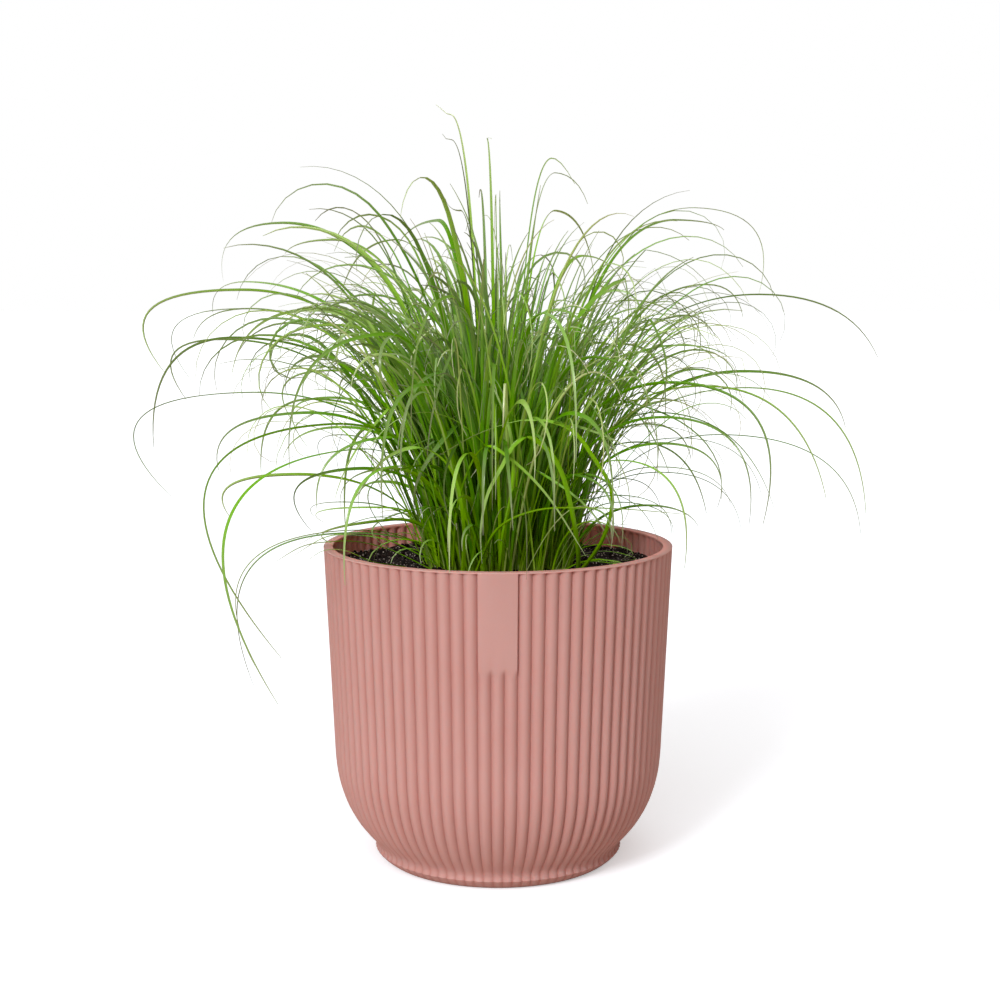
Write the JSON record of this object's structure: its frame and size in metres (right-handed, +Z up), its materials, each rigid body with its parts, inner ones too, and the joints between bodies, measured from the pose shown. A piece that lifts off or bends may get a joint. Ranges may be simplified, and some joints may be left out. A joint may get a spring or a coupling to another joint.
{
  "type": "potted umbrella sedge",
  "caption": "Clump of narrow arching grass-like leaves growing from soil in a round pot with a ribbed wall, a rounded lower bend and a low foot.",
  "frame": {"origin": "centre of the pot's flat underside, where it stands", "axes": "+Z up along the pot's axis; the plain panel on the pot's ribbed wall faces -Y"},
  "size_m": [0.312, 0.2432, 0.3021],
  "materials": {
    "pot_plastic": "matte",
    "soil": "matte",
    "leaf": "satin"
  },
  "bodies": {
    "root": {"pot": "pot_plastic", "soil": "soil", "shoot_01": "leaf", "shoot_02": "leaf", "shoot_03": "leaf", "shoot_04": "leaf", "shoot_05": "leaf", "shoot_06": "leaf", "shoot_07": "leaf", "shoot_08": "leaf", "shoot_09": "leaf", "shoot_10": "leaf", "shoot_11": "leaf", "shoot_12": "leaf", "shoot_13": "leaf", "shoot_14": "leaf", "shoot_15": "leaf", "shoot_16": "leaf", "shoot_17": "leaf", "shoot_18": "leaf", "shoot_19": "leaf", "shoot_20": "leaf", "shoot_21": "leaf", "shoot_22": "leaf", "shoot_23": "leaf", "shoot_24": "leaf", "shoot_25": "leaf", "shoot_26": "leaf", "shoot_27": "leaf", "shoot_28": "leaf", "shoot_29": "leaf", "shoot_30": "leaf", "shoot_31": "leaf", "shoot_32": "leaf", "shoot_33": "leaf", "shoot_34": "leaf", "shoot_35": "leaf", "shoot_36": "leaf", "shoot_37": "leaf", "shoot_38": "leaf", "shoot_39": "leaf", "shoot_40": "leaf", "shoot_41": "leaf", "shoot_42": "leaf", "shoot_43": "leaf", "shoot_44": "leaf", "shoot_45": "leaf", "shoot_46": "leaf", "shoot_47": "leaf", "shoot_48": "leaf", "shoot_49": "leaf", "shoot_50": "leaf", "shoot_51": "leaf", "shoot_52": "leaf", "shoot_53": "leaf", "shoot_54": "leaf", "shoot_55": "leaf", "shoot_56": "leaf", "shoot_57": "leaf"}
  },
  "joints": []
}
